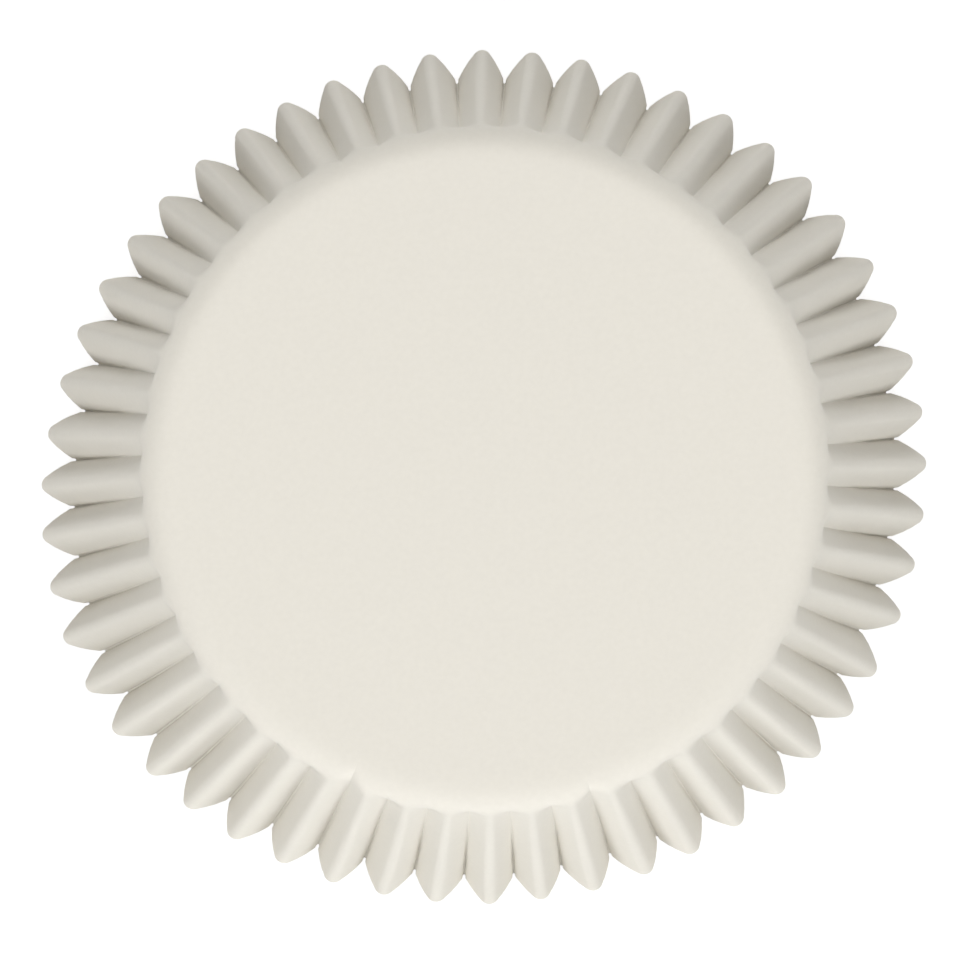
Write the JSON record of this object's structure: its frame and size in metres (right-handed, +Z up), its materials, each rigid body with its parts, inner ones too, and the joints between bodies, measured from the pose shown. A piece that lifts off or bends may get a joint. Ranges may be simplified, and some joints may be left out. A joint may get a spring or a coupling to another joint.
{
  "type": "cupcake liner",
  "caption": "Fluted round baking liner pressed from one sheet of plain cream paper, with a flat base and a wall that flares to a scalloped rim, standing mouth down.",
  "frame": {"origin": "centre of the rim, on the surface that the rim rests on, with the liner mouth down", "axes": "+Z up through the middle of the base, away from the open mouth; +X and +Y lie in the plane of the rim"},
  "size_m": [0.068, 0.068, 0.0307],
  "materials": {
    "paper": "matt cream baking paper"
  },
  "bodies": {
    "root": {"liner": "paper"}
  },
  "joints": []
}
